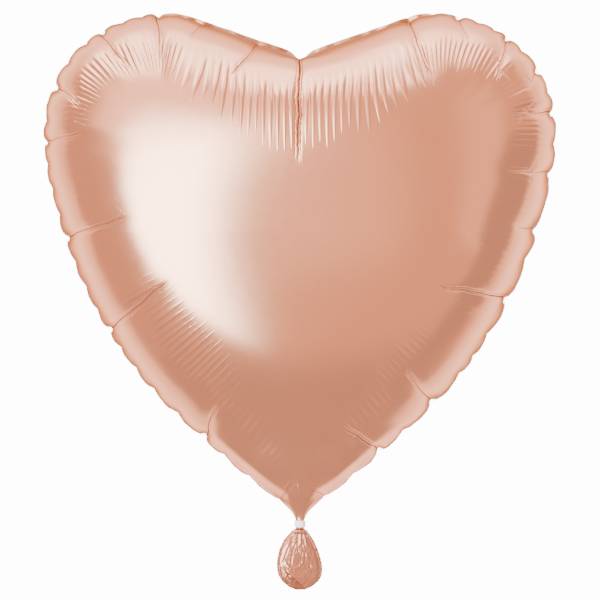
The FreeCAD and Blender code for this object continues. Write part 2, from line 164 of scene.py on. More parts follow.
# %% Large creases, small cusps and the strength of the fine pleats
# share, length mm, lean degrees, depth mm, notch in the outline mm
CREASES = [
    (1.000, 74, 0, 3.2, 0.0), (0.860, 44, 6, 1.7, 2.6), (0.795, 17, -19, 1.1, 1.6),
    (0.730, 38, -18, 1.5, 2.4), (0.674, 14, -18, 0.9, 1.2), (0.620, 30, 0, 1.6, 2.8),
    (0.543, 34, -13, 1.2, 1.5), (0.471, 16, -23, 1.0, 1.6), (0.378, 52, -13, 2.0, 3.0),
    (0.222, 34, 1, 1.7, 2.6), (0.133, 33, -14, 1.7, 2.6), (0.046, 12, -25, 1.0, 1.4),
    (-0.040, 20, 6, 1.3, 1.6), (-0.160, 28, -25, 1.8, 3.0), (-0.337, 52, -9, 2.0, 3.0),
    (-0.462, 45, 0, 1.7, 2.4), (-0.583, 36, -5, 1.3, 1.8), (-0.653, 23, 5, 1.4, 2.2),
    (-0.744, 36, -4, 1.6, 2.2), (-0.817, 42, -4, 1.8, 2.2), (-0.875, 12, 25, 0.9, 1.0),
    (-0.947, 36, 12, 1.4, 0.8)]
CUSPS = [-0.797, -0.772, -0.720, -0.687, -0.609, -0.557, -0.526, -0.493, -0.432, -0.398,
         -0.366, -0.312, -0.280, -0.246, -0.204, -0.127, -0.085, 0.090, 0.171, 0.272,
         0.298, 0.330, 0.436, 0.582, 0.646, 0.708, 0.749, 0.771, 0.831]
# share, height mm, where the pleats begin and end, as mm from the rim
PLEATS = np.array([
    (-1.00, 0.85, 20, 78), (-0.93, 0.88, 19, 68), (-0.86, 0.85, 18, 55), (-0.80, 0.70, 16, 46),
    (-0.72, 0.34, 14, 42), (-0.62, 0.24, 15, 38), (-0.52, 0.10, 16, 40), (-0.42, 0.12, 18, 44),
    (-0.33, 0.42, 25, 66), (-0.26, 0.40, 26, 68), (-0.17, 0.26, 25, 60), (-0.08, 0.10, 20, 34),
    (0.00, 0.00, 20, 30), (0.08, 0.06, 20, 34), (0.17, 0.20, 24, 52), (0.26, 0.18, 26, 56),
    (0.38, 0.14, 20, 46), (0.50, 0.18, 12, 36), (0.60, 0.26, 11, 38), (0.68, 0.22, 12, 36),
    (0.76, 0.50, 14, 42), (0.82, 0.70, 16, 50), (0.88, 0.85, 17, 60), (0.94, 0.88, 18, 70),
    (1.00, 0.85, 20, 78)])
PLEAT_PITCH = 5.4 * MM


def ramp(value, low, high):
    """0 below low, 1 above high, smooth between."""
    part = np.clip((value - low) / (high - low), 0, 1)
    return part * part * (3 - 2 * part)


def waves(at, longest, count, seed):
    """Smooth chance variation along a line, about -1 to 1."""
    local = np.random.default_rng(seed)
    total = np.zeros_like(at)
    for k in range(count):
        pitch = longest / (1 + 0.8 * k)
        total += np.sin(2 * math.pi * at / pitch + local.uniform(0, 6.28)) / (1 + 0.5 * k)
    return total / 2


def rim_gap(run, share):
    """Signed distance along the closed rim from a place given as a share."""
    start = share * seam_length / 2
    return (run - start + seam_length / 2) % seam_length - seam_length / 2


outward = np.gradient(np.vstack([seam[-2:], seam, seam[:2]]), axis=0)[2:-2]
outward /= np.linalg.norm(outward, axis=1)[:, None]
outward = np.column_stack([outward[:, 1], -outward[:, 0]])

strip = ramp(np.abs(seam_share), 0.80, 0.86) * (1 - ramp(np.abs(seam_share), 0.975, 0.998))
marks = np.array(sorted([row[0] for row in CREASES] + CUSPS))
marks = np.concatenate([[marks[-1] - 2], marks, [marks[0] + 2]])
after = np.searchsorted(marks, seam_share, side="right").clip(1, len(marks) - 1)
span = marks[after] - marks[after - 1]
part = (seam_share - marks[after - 1]) / span
arch = np.minimum(0.13 * span * seam_length / 2, 3.0 * MM) * (1 - strip)
nudge = -arch * np.abs(2 * part - 1) ** 2.3 - strip * (MARGIN - EDGE + 0.7 * MM)
seam_lean = 0.5 * MM * waves(seam_run, 60 * MM, 6, 4)
for number, (share, length, lean, depth, notch) in enumerate(CREASES):
    gap = rim_gap(seam_run, share)
    nudge -= 0.40 * notch * MM * np.exp(-np.abs(gap) / (1.8 * MM))
    side = 1 if number % 2 else -1
    seam_lean += side * 0.9 * notch * MM * np.exp(-(gap / (5 * MM)) ** 2)
near_neck = 1 - ramp(seam[:, 1], 2 * MM, 26 * MM)
pinch = np.max([np.exp(-(rim_gap(seam_run, row[0]) / (3 * MM)) ** 2) for row in CREASES],
               axis=0)
nudge *= 1 - near_neck
seam_lean *= 1 - near_neck
rim = seam + outward * nudge[:, None]
print("rim notched by up to %.1f mm" % (-nudge.min() / MM))

# %% [markdown]
# ## The film's relief
#
# Every point of a film knows its nearest place on the rim and how far in it is. The broad
# pucker of a crease is shape. Its thin line, and the fine pleats, are too small for the mesh,
# so each point stores where it lies among them and the material turns that into bump; the
# thin line also darkens the colour, as painted shade.

# %% Relief as a function of the place on the film


def nearest_on_rim(points):
    """For each point in the XZ plane, its distance along the rim and from the rim."""
    run = np.empty(len(points))
    away = np.empty(len(points))
    ahead = np.roll(seam, -1, axis=0) - seam
    step = seam_length / RIM_COUNT
    for first in range(0, len(points), 4000):
        part = points[first:first + 4000]
        gap = np.linalg.norm(part[:, None, :] - seam[None, :, :], axis=2)
        best = gap.argmin(axis=1)
        along = ((part - seam[best]) * ahead[best]).sum(axis=1) / step
        along = np.clip(along, -step, step)
        run[first:first + 4000] = seam_run[best] + along
        nearest = gap[np.arange(len(part)), best]
        away[first:first + 4000] = np.sqrt(np.maximum(nearest ** 2 - along ** 2, 0))
    return run, away


def crease_paths(seed):
    """Each large crease as (start, heading, across, length, depth, bow)."""
    local = np.random.default_rng(seed)
    paths = []
    for share, length, lean, depth, notch in CREASES:
        start = int(round((share % 2) / 2 * RIM_COUNT)) % RIM_COUNT
        inward = -outward[start]
        along = np.array([inward[1], -inward[0]])
        turn = math.radians(lean + local.uniform(-4, 4))
        heading = inward * math.cos(turn) + along * math.sin(turn)
        across = np.array([-heading[1], heading[0]])
        length = length * MM * local.uniform(0.9, 1.1)
        paths.append((rim[start], heading, across, length, depth * MM, local.uniform(-4, 4) * MM))
    return paths


def crease_relief(points, seed):
    """The puckered ground of the creases, and for the fine line: how far aside, how deep."""
    total = np.zeros(len(points))
    aside = np.full(len(points), 1.0)
    line = np.zeros(len(points))
    for start, heading, across, length, depth, bow in crease_paths(seed):
        arm = points - start
        down = arm @ heading
        near = np.nonzero((np.abs(arm).max(axis=1) < 0.1) & (down > -0.004))[0]
        down = down[near]
        off = arm[near] @ across - bow * (down / length) ** 2
        off = off - 0.6 * MM * waves(down, 30 * MM, 2, seed)
        width = 2.1 * MM + 0.03 * down
        fade = 1 - ramp(down, 0.35 * length, length)
        valley = -np.exp(-np.abs(off) / width)
        lip = 0.45 * np.exp(-((np.abs(off) - 3.2 * width) / (2.2 * width)) ** 2)
        total[near] += 0.40 * depth * fade * (valley + lip)
        nearer = np.abs(off) < np.abs(aside[near])
        chosen = near[nearer]
        aside[chosen] = off[nearer]
        reach = ramp(length * 1.1 - down, 0, 0.35 * length) * (1 - ramp(np.abs(off), 6 * MM, 11 * MM))
        line[chosen] = (depth * reach)[nearer]
    return total, aside, line


def broad_relief(run, away):
    """Between two creases the rim puffs out a little."""
    gap = np.full(len(run), 1.0)
    for share, *_ in CREASES:
        gap = np.minimum(gap, np.abs(rim_gap(run, share)))
    puff = 1.3 * MM * (ramp(gap, 0, 18 * MM) - 0.5) * np.exp(-(away / (26 * MM)) ** 2)
    ring = np.exp(-((away - 30 * MM) / (22 * MM)) ** 2)
    return puff + 0.35 * MM * waves(run, 120 * MM, 5, 11) * ring


# %% [markdown]
# ## The two films
#
# Level lines carry the film from the rim to the middle: the heart outline at the rim, an
# oval further in. They lie close together over the pleats and wide apart in the smooth
# middle, where each line also has fewer points.

# %% Build a film from its level lines
FLATNESS = 2.9       # 2 is an elliptical section, more gives a flatter middle
MORPH = 2.2          # how soon the heart outline fades to an oval, going inwards
NECK_TAPER = 75 * MM  # height above the neck over which the films draw together


def level_shares():
    """Shares of the way from the middle (0) to the rim (1), with their point counts."""
    first = [(1 - 0.10 * (k / 13) ** 1.8, RIM_COUNT) for k in range(14)]
    pleats = [(0.90 - 0.0072 * k, RIM_COUNT) for k in range(1, 43)]
    inner = [(share, RIM_COUNT // 2) for share in np.linspace(0.585, 0.40, 9)]
    middle = [(share, RIM_COUNT // 4) for share in np.linspace(0.37, 0.05, 12)]
    return first + pleats + inner + middle


def join_rings(counts):
    """Faces between rings of points, where a ring may have half its neighbour's points."""
    faces, start = [], 0
    for outer, inner in zip(counts[:-1], counts[1:]):
        base = start + outer
        if outer == inner:
            for k in range(outer):
                after = (k + 1) % outer
                faces.append((start + k, start + after, base + after, base + k))
        else:
            for k in range(inner):
                after = (k + 1) % inner
                one, two, three = start + 2 * k, start + 2 * k + 1, start + (2 * k + 2) % outer
                faces.append((one, two, base + k))
                faces.append((two, base + after, base + k))
                faces.append((two, three, base + after))
        start = base
    return faces, start


def evened(ring, reach):
    """A closed ring with detail finer than reach taken out, and its size kept."""
    turns = np.fft.rfftfreq(RIM_COUNT, d=1.0 / RIM_COUNT)
    keep = np.exp(-2 * (math.pi * turns * reach / seam_length) ** 2)
    keep[1:] /= keep[1]
    return np.fft.irfft(np.fft.rfft(ring, axis=0) * keep[:, None], n=RIM_COUNT, axis=0)


def film_points():
    """The smooth film, as XZ points and depths, before its relief."""
    clock = np.arctan2(seam[:, 1] - CENTRE[1], seam[:, 0])
    reach = np.linalg.norm(rim - CENTRE, axis=1)
    plain = np.linalg.norm(seam - CENTRE, axis=1)
    oval = 1 / np.hypot(np.cos(clock) / (0.93 * HALF_WIDTH), np.sin(clock) / (0.80 * HALF_WIDTH))
    flat, depth, rises = [], [], []
    for share, count in level_shares():
        pick = slice(None, None, RIM_COUNT // count)
        fade = share ** MORPH
        local = plain + (reach - plain) * max(0.0, 1 - (1 - share) * 9)
        out = share * (fade * local + (1 - fade) * oval)
        ring = CENTRE + np.column_stack([np.cos(clock), np.sin(clock)]) * out[:, None]
        ring = evened(ring, 165 * MM * (1 - share) ** 0.9)[pick]
        drawn = 1 - np.exp(-np.clip(ring[:, 1], 0, CENTRE[1]) / NECK_TAPER)
        drawn = drawn / (1 - math.exp(-CENTRE[1] / NECK_TAPER))
        flat.append(ring)
        depth.append(BULGE * math.sqrt(1 - share ** FLATNESS) * drawn)
        rises.append(np.full(count, share))
    return np.vstack(flat), np.concatenate(depth), np.concatenate(rises)


def round_neck(flat, depth, rises):
    """Lets the lowest part of the film be a cone that ends in the gathered bundle."""
    height = np.maximum(flat[:, 1], 0)
    width = np.interp(height, seam_right[:130, 1], seam_right[:130, 0])
    section = np.sqrt(np.maximum(1 - (flat[:, 0] / width) ** 2, 0))
    closing = np.sqrt(np.clip((1 - rises) / 0.035, 0, 1))
    section *= 1 - ramp(height, 5 * MM, 18 * MM) * (1 - closing)
    cone = section * (2.6 * MM + 0.48 * height) * (1 - 0.3 * ramp(height, 62 * MM, 110 * MM))
    cone *= 1 - ramp(height, 90 * MM, 110 * MM)
    near = np.minimum(1.2 * MM, 0.25 * (cone + depth)) + 1e-9
    over = np.maximum(near - np.abs(cone - depth), 0) ** 2 / (4 * near)
    return np.where(rises > 0.9999, 0, np.maximum(cone, depth) + over)


def new_piece(name, points, faces, smooth=True):
    mesh = bpy.data.meshes.new(name)
    mesh.from_pydata(np.asarray(points).tolist(), [], faces)
    if smooth:
        mesh.polygons.foreach_set("use_smooth", [True] * len(mesh.polygons))
    mesh.update()
    piece = bpy.data.objects.new(name, mesh)
    bpy.context.scene.collection.objects.link(piece)
    return piece


def tube_faces(rows, width, first=0, joined=False):
    """Faces between rows of a closed section, width points each. joined closes the last row
    on to the first."""
    faces = []
    for row in range(rows if joined else rows - 1):
        here, there = first + row * width, first + (row + 1) % rows * width
        for k in range(width):
            after = (k + 1) % width
            faces.append((here + k, here + after, there + after, there + k))
    return faces


def point_normals(piece):
    normals = np.empty(len(piece.data.vertices) * 3)
    piece.data.vertex_normals.foreach_get("vector", normals)
    return normals.reshape(-1, 3)


def label(piece, **layers):
    """Gives each point of a piece named values, for its material to read."""
    for name, values in layers.items():
        layer = piece.data.attributes.new(name, "FLOAT", "POINT")
        layer.data.foreach_set("value", np.ascontiguousarray(values, dtype=np.float32))


def pleat_run(run, flat):
    """Distance along the rim for the pleats. Beside the cleft they run straight down."""
    half = seam_length / 2
    aside = np.abs(flat[:, 0])
    straight = ramp(1 - np.abs(run - half) / half, 0.80, 0.90) * (1 - ramp(aside, 30 * MM, 110 * MM))
    gap = np.abs(run - half) * (1 - straight) + 1.04 * aside * straight
    return half - np.sign(flat[:, 0]) * gap


def make_film(name, side, seed):
    """side is -1 for the front film and 1 for the back."""
    flat, depth, rises = film_points()
    depth = round_neck(flat, depth, rises)
    counts = [count for _, count in level_shares()]
    faces, start = join_rings(counts)
    hub = start + counts[-1]
    faces += [(start + k, start + (k + 1) % counts[-1], hub) for k in range(counts[-1])]
    flat = np.vstack([flat, CENTRE])
    depth = np.append(depth, BULGE)
    rises = np.append(rises, 0.0)
    run, away = nearest_on_rim(flat)
    index = (np.round(run / seam_length * RIM_COUNT).astype(int)) % RIM_COUNT
    lean = seam_lean[index] * np.exp(-away / (9 * MM)) * (rises > 0.8)
    points = np.column_stack([flat[:, 0], side * depth + lean, flat[:, 1]])
    if side > 0:
        faces = [face[::-1] for face in faces]
    piece = new_piece(name, points, faces)
    from_middle = np.where(flat[:, 1] < CENTRE[1], np.abs(flat[:, 0]), 1.0)
    off_middle = ramp(from_middle, 0, 0.5 * away + 2 * MM)
    pucker, aside, line = crease_relief(flat, seed)
    share = np.where(run <= seam_length / 2, run, run - seam_length) / (seam_length / 2)
    table = [np.interp(share, PLEATS[:, 0], PLEATS[:, k]) * MM for k in (1, 2, 3)]
    phase = pleat_run(run, flat) / PLEAT_PITCH + 0.22 * waves(run, 90 * MM, 3, seed)
    label(piece, pleat_phase=phase,
          rim_distance=away, pleat_height=table[0] * off_middle, pleat_start=table[1],
          pleat_end=table[2], crease_aside=aside, crease_depth=line)
    turn = np.arctan2(flat[:, 0], np.maximum(depth, 1e-5))
    folds = np.abs(np.sin(4.5 * turn + 0.4 * side)) - 0.5
    height = flat[:, 1]
    folds = 0.12 * MM * folds * ramp(height, -3 * MM, 10 * MM)
    folds *= 1 - ramp(height, 14 * MM, 40 * MM)
    relief = (broad_relief(run, away) * off_middle + pucker) * ramp(height, 3 * MM, 22 * MM) + folds
    relief *= ramp(away, 0, 2.5 * MM)
    points = points + point_normals(piece) * relief[:, None]
    piece.data.vertices.foreach_set("co", points.ravel())
    piece.data.update()
    return piece


front_film = make_film("front_film", -1, 21)
back_film = make_film("back_film", 1, 22)
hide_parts("front_foil_panel")
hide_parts("back_foil_panel")
print("film faces", len(front_film.data.polygons), "each")

# %% [markdown]
# ## The welded margin
#
# Outside the seam the two films are welded flat together. The margin follows every notch
# of the rim, flutters a little from side to side, and lies folded back along the two
# straight edges beside the cleft.

# %% The margin round the rim
MARGIN_ROWS = 7


def make_margin():
    tangent = np.gradient(np.vstack([rim[-2:], rim, rim[:2]]), axis=0)[2:-2]
    tangent /= np.linalg.norm(tangent, axis=1)[:, None]
    out = np.column_stack([tangent[:, 1], -tangent[:, 0]])
    for _ in range(3):
        out = (np.roll(out, 1, axis=0) + out * 2 + np.roll(out, -1, axis=0)) / 4
    out /= np.linalg.norm(out, axis=1)[:, None]
    tilt = np.radians(80 - 76 * strip) + 0.12 * waves(seam_run, 34 * MM, 5, 8) * (1 - 0.7 * strip)
    width = MARGIN * (0.92 + 0.06 * waves(seam_run, 50 * MM, 4, 9)) * ramp(seam[:, 1], 0, 16 * MM)
    width *= (1 - 0.85 * pinch * (1 - strip)) * (1 + 0.38 * strip)
    rows = []
    for side in (1, -1):
        for row in range(MARGIN_ROWS):
            part = row / (MARGIN_ROWS - 1)
            if side < 0:
                part = 1 - part
            ripple = 0.16 * MM * waves(seam_run, 9 * MM, 3, 10) * part * (1 - 0.8 * strip)
            across = width * part * np.cos(tilt) - 0.3 * MM * (1 - part)
            back = width * part * np.sin(tilt) + ripple + seam_lean + side * 0.11 * MM
            flat = rim + out * across[:, None]
            rows.append(np.column_stack([flat[:, 0], back, flat[:, 1]]))
    faces = tube_faces(len(rows), RIM_COUNT, joined=True)
    return new_piece("rim_margin", np.vstack(rows), faces)


rim_margin = make_margin()
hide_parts("rim_heat_seal")
print("margin faces", len(rim_margin.data.polygons))

# %% [markdown]
# ## The ribbon tie
#
# White satin ribbon, wound three times round the gathered film and knotted behind.

# %% The gathered bundle, the wound band and the knot


def lathe(name, rows, steps):
    """rows of (radius, height), each radius may be a function of the angle."""
    angles = np.arange(steps) * 2 * math.pi / steps
    points = []
    for radius, height in rows:
        reach = radius(angles) if callable(radius) else np.full(steps, radius)
        points.append(np.column_stack([reach * np.sin(angles), -reach * np.cos(angles),
                                       np.full(steps, height)]))
    faces = []
    for row in range(len(rows) - 1):
        for k in range(steps):
            after = (k + 1) % steps
            faces.append((row * steps + k, (row + 1) * steps + k,
                          (row + 1) * steps + after, row * steps + after))
    return new_piece(name, np.vstack(points), faces)


def bundle_radius(base):
    return lambda angle: base * (1 + 0.10 * np.abs(np.sin(4.5 * angle + 0.5)) + 0.04 * np.sin(3 * angle))


neck_bundle = lathe("neck_bundle", [
    (0.0001, 2.5 * MM), (bundle_radius(1.4 * MM), 2.2 * MM), (bundle_radius(2.3 * MM), 0.6 * MM),
    (bundle_radius(2.8 * MM), -1.5 * MM), (bundle_radius(2.8 * MM), -7 * MM),
    (bundle_radius(2.4 * MM), -8.6 * MM), (bundle_radius(1.2 * MM), -10 * MM), (0.0001, -10.4 * MM)], 72)
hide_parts("neck_gather")

TURNS = 3


def make_band():
    """A closed strip section that winds down, each turn lying partly on the last."""
    steps = 96 * TURNS
    low, high = RIBBON_LOW[2], RIBBON_HIGH[2]
    height = high - low
    strip = 0.64 * height
    points, rows = [], 9
    for k in range(steps + 1):
        angle = 2 * math.pi * k / 96
        drop = (height - strip) * k / steps
        layer = k / steps
        for side in (0, 1):
            for row in range(rows):
                part = row / (rows - 1) if side == 0 else 1 - row / (rows - 1)
                crown = 0.16 * MM * math.sin(math.pi * part)
                reach = RIBBON_RADIUS - 0.48 * MM + 0.22 * MM * layer + crown
                reach += 0.10 * MM * math.sin(3 * angle + 2.2) * part
                reach -= side * 0.16 * MM
                up = high - drop - strip * part
                points.append((reach * math.sin(angle + 2.6), -reach * math.cos(angle + 2.6), up))
    width = 2 * rows
    faces = tube_faces(steps + 1, width)
    faces.append(tuple(range(width)))
    faces.append(tuple(reversed(range(steps * width, steps * width + width))))
    return new_piece("ribbon_band", points, faces)


ribbon_band = make_band()
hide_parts("tie_ribbon_band")


def make_knot():
    """A small crossed lump behind the band, and two trimmed ends."""
    middle = np.array([0, RIBBON_RADIUS + 0.9 * MM, (RIBBON_LOW[2] + RIBBON_HIGH[2]) / 2])
    points, faces = [], []
    steps, turns = 40, 28
    for row in range(turns + 1):
        fall = math.pi * row / turns
        for k in range(steps):
            angle = 2 * math.pi * k / steps
            swell = 1 + 0.10 * math.sin(3 * angle + 4 * fall) + 0.06 * math.sin(5 * angle - 3 * fall)
            points.append(middle + np.array([2.1 * math.sin(fall) * math.cos(angle) * swell,
                                             1.25 * math.sin(fall) * math.sin(angle) * swell,
                                             1.75 * math.cos(fall)]) * MM)
    faces += tube_faces(turns + 1, steps)
    for side in (-1, 1):
        first = len(points)
        for row in range(25):
            part = row / 24
            depth = 0.4 + 0.5 * side - 0.9 * part + 0.5 * math.sin(4 * part)
            spot = middle + np.array([side * (0.6 + 2.9 * part), depth, -0.6 - 5.6 * part]) * MM
            half = (0.75 + 0.35 * part) * MM
            for turned, thick in ((1, 0), (-1, 0.14 * MM)):
                for cross in (-1, -0.5, 0, 0.5, 1):
                    cross *= turned
                    cup = 0.35 * MM * (1 - cross * cross) * (1 - 0.5 * part) - thick
                    points.append(spot + np.array([cross * half, cup, 0.30 * side * cross * half]))
        faces += tube_faces(25, 10, first)
        faces.append(tuple(first + k for k in range(10)))
        faces.append(tuple(first + 240 + k for k in reversed(range(10))))
    return new_piece("ribbon_knot", points, faces)


ribbon_knot = make_knot()
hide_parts("tie_ribbon_knot")
print("ribbon made")

# %% [markdown]
# ## The tail
#
# The filling tail is the two films again, flat and crumpled, gathered at the ribbon. Flat
# facets between sharp folds make crumpled foil: the lowest of a few chance slopes at each
# point gives just that. Long folds fan out from the throat, and the front film has one
# slanting fold at the lower left, with painted shade darkening the patch below it.

# %% The tail's films and their side margins
TAIL_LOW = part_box("tail_front_film")[0]
TAIL_BOTTOM = TAIL_LOW[2] + 1.0 * MM
TAIL_TOP = RIBBON_LOW[2] + 1.5 * MM
# height below the ribbon as a share, half width left and right mm
TAIL_SHAPE = np.array([
    (0.00, 2.7, 2.7), (0.05, 3.2, 3.1), (0.08, 6.2, 5.6), (0.13, 8.0, 7.0), (0.22, 11.3, 9.2),
    (0.36, 14.4, 12.2), (0.52, 16.2, 14.6), (0.66, 16.4, 16.0), (0.78, 15.2, 15.6),
    (0.88, 12.4, 13.4), (0.95, 8.6, 9.4), (1.00, 3.0, 3.6)])


def triangle(value):
    part = value - np.floor(value)
    return 2 * np.abs(2 * part - 1) - 1


def facets(across, up, seed, size, count):
    """Flat facets between sharp ridges: the lower of a few chance slopes, again and again."""
    local = np.random.default_rng(seed)
    total = np.zeros_like(across)
    for k in range(count):
        lowest = np.full_like(across, 1e9)
        for _ in range(14):
            turn = local.uniform(0, 2 * math.pi)
            middle = local.uniform(-1, 1, 2) * [14 * MM, 24 * MM]
            steep = local.uniform(0.5, 1.5)
            rise = 0.6 * (up + 32 * MM - middle[1])
            far = (across - middle[0]) * math.cos(turn) + rise * math.sin(turn)
            lowest = np.minimum(lowest, steep * np.abs(far) / size)
        total += (1 if k % 2 else -1) * lowest
    return total


# folds that run from the throat: where each starts and ends, mm right and below, and how deep
FOLDS = [((-0.6, 12), (-8.5, 38), 0.50), ((0.3, 11), (-2.0, 27), 0.34), ((1.0, 11), (3.8, 30), 0.45),
         ((0.9, 12), (10.5, 36), 0.40), ((-1.5, 12), (-13.0, 31), 0.40), ((3.2, 24), (5.0, 48), 0.34),
         ((6.0, 27), (10.6, 45), 0.34), ((8.6, 31), (13.0, 44), 0.26), ((1.2, 22), (1.6, 40), 0.28),
         ((-11.5, 38), (-2.0, 51), 0.55), ((-10.0, 42), (-9.0, 50), 0.30), ((-4.5, 45), (2.5, 53), 0.28)]
CRESCENT = (-4.6 * MM, -31 * MM, 6.4 * MM)


def fold_lines(x, up):
    total = np.zeros_like(x)
    for (x0, d0), (x1, d1), deep in FOLDS:
        start, end = np.array([x0, -d0]) * MM, np.array([x1, -d1]) * MM
        run = end - start
        part = ((x - start[0]) * run[0] + (up - start[1]) * run[1]) / (run @ run)
        bow = 0.7 * MM * np.sin(7 * part + 3 * deep)
        off = ((x - start[0]) * run[1] - (up - start[1]) * run[0]) / np.linalg.norm(run) + bow
        live = ramp(part, -0.05, 0.12) * (1 - ramp(part, 0.8, 1.08))
        valley = np.exp(-np.abs(off) / (0.45 * MM))
        lip = 0.5 * np.exp(-np.abs(off - 1.3 * MM) / (0.9 * MM))
        total -= 0.75 * deep * MM * live * (valley - lip)
    return total


def make_tail(name, side, seed):
    rows, columns = 210, 130
    down = np.linspace(0, 1, rows)
    height = TAIL_TOP + (TAIL_BOTTOM - TAIL_TOP) * down
    left = np.interp(down, TAIL_SHAPE[:, 0], TAIL_SHAPE[:, 1]) * MM
    right = np.interp(down, TAIL_SHAPE[:, 0], TAIL_SHAPE[:, 2]) * MM
    for _ in range(8):
        left[11:-1] = (left[10:-2] + 2 * left[11:-1] + left[12:]) / 4
        right[11:-1] = (right[10:-2] + 2 * right[11:-1] + right[12:]) / 4
    part = np.linspace(-1, 1, columns)
    across, up = np.meshgrid(part, height)
    reach = np.where(across < 0, left[:, None], right[:, None])
    x = across * reach
    puff = np.interp(down, [0, 0.05, 0.12, 0.5, 0.8, 1], [2.7, 2.9, 3.8, 4.2, 3.4, 0.8]) * MM
    depth = puff[:, None] * np.sqrt(np.maximum(1 - np.abs(across) ** 2.4, 0))
    throat = 1 - ramp(down, 0.05, 0.14)[:, None]
    round_part = np.sqrt(np.maximum(reach ** 2 - x ** 2, 0))
    depth = depth * (1 - throat) + round_part * throat
    hold = (1 - throat) * ramp(1 - np.abs(across), 0, 0.14)
    fan = triangle(across * 2.6 + 0.3 * side + 0.2 * np.sin(9 * down)[:, None])
    relief = 0.30 * MM * fan * (1 - ramp(down, 0.16, 0.42))[:, None]
    below = ramp(-0.89 * (x + 12 * MM) - (up + 38 * MM), 0, 0.8 * MM)
    calm = np.exp(-((x + 4.5 * MM) / (5 * MM)) ** 2 - ((up + 25 * MM) / (9 * MM)) ** 2)
    large = 0.50 * MM * facets(x, up, seed, 11 * MM, 2)
    small = 0.12 * MM * facets(x * 2.2, up * 2.0, seed + 50, 9 * MM, 3)
    relief = relief + large * (1 - 0.75 * calm) * (1 - 0.5 * below)
    relief = relief + small * (1 - 0.8 * calm + 1.6 * below)
    if side < 0:
        relief = relief + fold_lines(x, up) - 0.7 * MM * below
        ring = np.hypot(x - CRESCENT[0], up - CRESCENT[1]) - CRESCENT[2]
        lower = ramp(CRESCENT[1] - up, -1 * MM, 3 * MM)
        relief = relief + 0.30 * MM * lower * np.exp(-(ring / (0.8 * MM)) ** 2)
    y = side * (depth + relief * hold)
    wave = 0.5 * MM * facets(across * 6 * MM, up, 77, 9 * MM, 2) + 0.24 * x
    y = y + wave * (1 - throat) * ramp(down, 0.1, 0.3)[:, None]
    points = np.column_stack([x.ravel(), y.ravel(), up.ravel()])
    faces = []
    for row in range(rows - 1):
        for k in range(columns - 1):
            quad = (row * columns + k, (row + 1) * columns + k,
                    (row + 1) * columns + k + 1, row * columns + k + 1)
            faces.append(quad if side < 0 else quad[::-1])
    piece = new_piece(name, points, faces)
    # painted shade: the front sheet's patch below the slanting fold, which darkens its colour
    label(piece, fold_shade=(0.6 * below * (side < 0)).ravel())
    return piece, points.reshape(rows, columns, 3)


tail_front, front_grid = make_tail("tail_front_sheet", -1, 31)
tail_back, back_grid = make_tail("tail_back_sheet", 1, 32)
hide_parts("tail_front_film")
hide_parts("tail_back_film")


def make_tail_margins():
    """The two welded sides of the tail, fluttering strips that follow the films' edges."""
    points, faces = [], []
    for edge, sign in ((0, -1), (-1, 1)):
        spine = (front_grid[26:186, edge] + back_grid[26:186, edge]) / 2
        first = len(points)
        for k, spot in enumerate(spine):
            share = k / (len(spine) - 1)
            width = 1.1 * MM * math.sin(math.pi * min(max(share, 0.02), 0.98)) ** 0.4
            flutter = 0.5 * MM * math.sin(share * 31 + sign) + 0.3 * MM * math.sin(share * 73)
            for part, face in ((-0.4, 1), (0.5, 1), (1, 1), (1, -1), (0.5, -1), (-0.4, -1)):
                back = spot[1] + flutter * max(part, 0) + face * 0.07 * MM
                points.append((spot[0] + sign * width * part, back, spot[2]))
        faces += tube_faces(len(spine), 6, first)
        faces.append(tuple(first + c for c in range(6)))
        last = first + (len(spine) - 1) * 6
        faces.append(tuple(last + c for c in reversed(range(6))))
    return new_piece("tail_margins", points, faces)


tail_margins = make_tail_margins()
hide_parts("tail_side_seals")
print("tail faces", len(tail_front.data.polygons) + len(tail_back.data.polygons))

# %% [markdown]
# ## Materials
#
# The foil is metal with a slightly rough surface. Two node groups read the values stored on
# the film's points: one makes the pleats, the other the lines in the creases, as bump and as
# painted shade along each line. The tail has cell edges as bump too, for the fine crumpling.
# The tail, the gathered neck and the welded margins are darker copies of the same foil: painted
# shade.

# %% Film, margin, clear film and ribbon


def new_material(name):
    material = bpy.data.materials.new(name)
    material.use_nodes = True
    nodes = material.node_tree.nodes
    nodes.clear()
    return material, nodes, material.node_tree.links


def calc(tree, operation, *values):
    """A math node fed with numbers or other nodes' outputs."""
    node = tree.nodes.new("ShaderNodeMath")
    node.operation = operation
    for slot, value in enumerate(values):
        if isinstance(value, (int, float)):
            node.inputs[slot].default_value = value
        else:
            tree.links.new(value, node.inputs[slot])
    return node.outputs["Value"]


def span(tree, value, low, high, dark=0.0, bright=1.0, smooth=True):
    """A value's place between two others, as a step from dark to bright."""
    node = tree.nodes.new("ShaderNodeMapRange")
    node.interpolation_type = "SMOOTHSTEP" if smooth else "LINEAR"
    for slot, number in (("Value", value), ("From Min", low), ("From Max", high),
                         ("To Min", dark), ("To Max", bright)):
        if isinstance(number, (int, float)):
            node.inputs[slot].default_value = number
        else:
            tree.links.new(number, node.inputs[slot])
    return node.outputs["Result"]


def new_group(name, inputs):
    tree = bpy.data.node_groups.new(name, "ShaderNodeTree")
    for socket in inputs:
        tree.interface.new_socket(socket, in_out="INPUT", socket_type="NodeSocketFloat")
    for socket in ("Relief", "Shade"):
        tree.interface.new_socket(socket, in_out="OUTPUT", socket_type="NodeSocketFloat")
    return tree, tree.nodes.new("NodeGroupInput"), tree.nodes.new("NodeGroupOutput")


